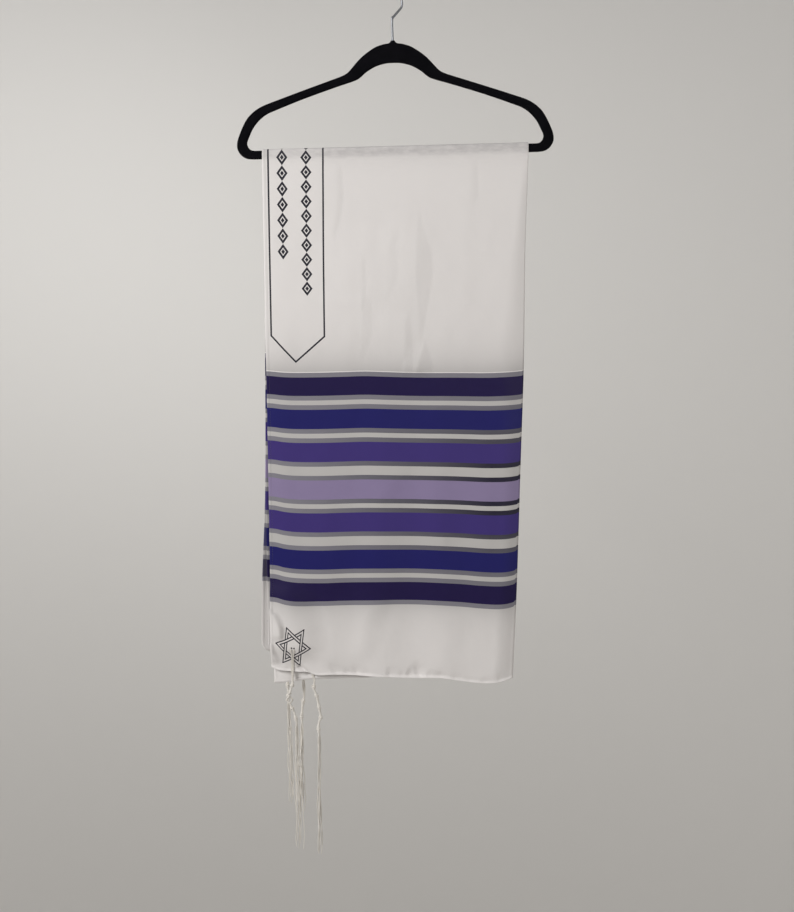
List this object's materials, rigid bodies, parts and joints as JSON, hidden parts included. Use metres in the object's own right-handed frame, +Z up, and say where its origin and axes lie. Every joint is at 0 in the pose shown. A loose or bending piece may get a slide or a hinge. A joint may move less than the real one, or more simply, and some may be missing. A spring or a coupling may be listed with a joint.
{
  "type": "tallit prayer shawl folded over a hanger",
  "caption": "Striped satin prayer shawl with corner strings, doubled lengthwise and hung over the bar of a flocked hanger with a wire hook.",
  "frame": {"origin": "the crown of the hook, where a rail touches the underside of the wire", "axes": "+X to the right along the bar as seen from the printed front, -Y out of the front of the cloth, +Z up"},
  "size_m": [0.4449, 0.041, 1.2482],
  "materials": {
    "black_flock": "matte flocked velvet",
    "hook_steel": "polished wire",
    "printed_satin": "white polyester satin with printed stripes",
    "cotton_cord": "twisted undyed cord"
  },
  "bodies": {
    "root": {"hanger_frame": "black_flock", "hanger_hook": "hook_steel", "shawl": "printed_satin", "tzitzit_front_outer": "cotton_cord", "tzitzit_front_inner": "cotton_cord", "tzitzit_back_inner": "cotton_cord", "tzitzit_back_outer": "cotton_cord"}
  },
  "joints": []
}
